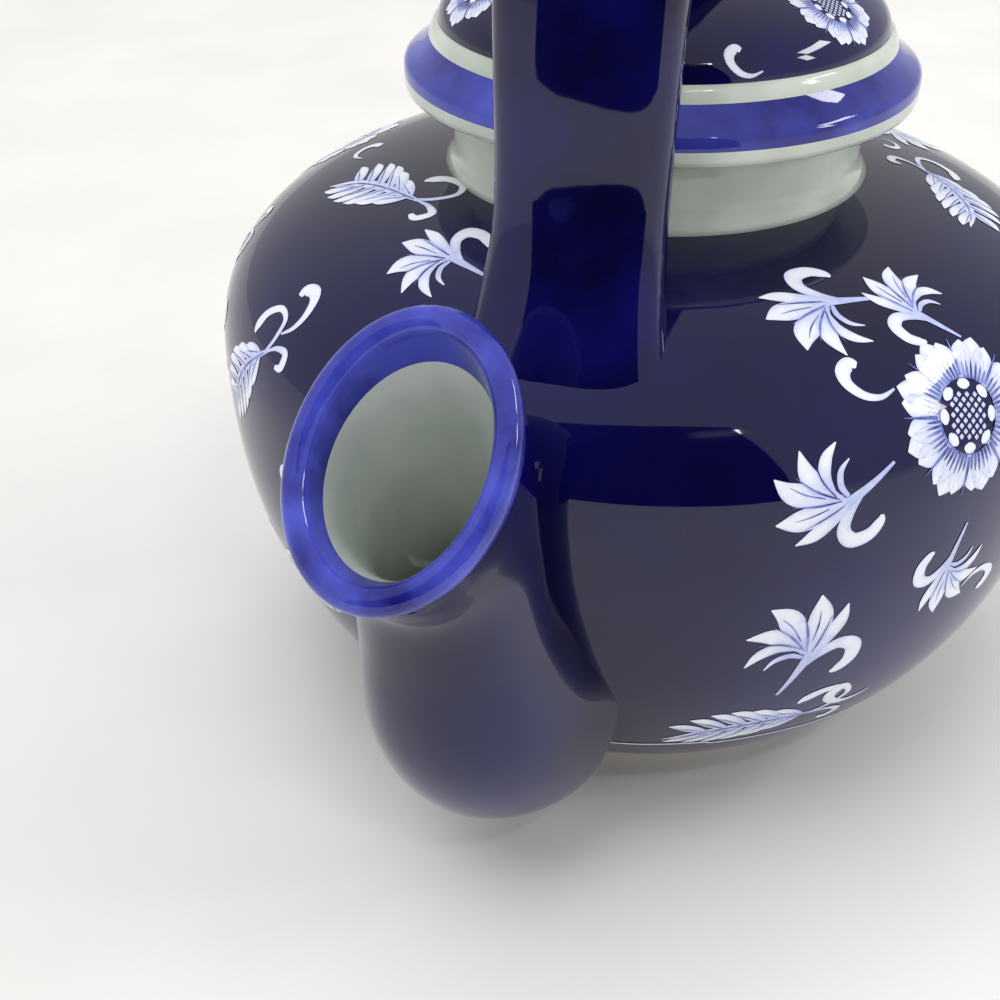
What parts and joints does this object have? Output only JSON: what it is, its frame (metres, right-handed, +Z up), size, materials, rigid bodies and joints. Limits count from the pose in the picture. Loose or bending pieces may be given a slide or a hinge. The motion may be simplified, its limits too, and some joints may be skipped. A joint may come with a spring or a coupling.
{
  "type": "teapot",
  "caption": "Squat porcelain teapot with a fixed overhead strap handle, a short egg-mouthed spout and a domed lift-off lid.",
  "frame": {"origin": "centre of the bounding box at the level of the foot ring's underside, on the table", "axes": "+Z up along the turning axis of the pot, +X towards the spout's mouth, +Y to the left of the spout as the pot pours"},
  "size_m": [0.1892, 0.1518, 0.191],
  "materials": {
    "cobalt_glaze": "glossy cobalt-blue underglaze with brushed scrollwork",
    "celadon_glaze": "glossy pale grey-green glaze"
  },
  "bodies": {
    "pot": {"body_shell": "cobalt_glaze", "neck_collar": "celadon_glaze", "foot_ring": "celadon_glaze", "spout": "cobalt_glaze", "overhead_handle": "cobalt_glaze"},
    "lid": {"lid_dome": "cobalt_glaze", "lid_bezel": "celadon_glaze", "lid_knob": "cobalt_glaze"}
  },
  "joints": [
    {"name": "lid_lift", "type": "slide", "parent": "pot", "child": "lid", "axis": [0, 0, 1], "range_m": [0, 0.012]}
  ]
}
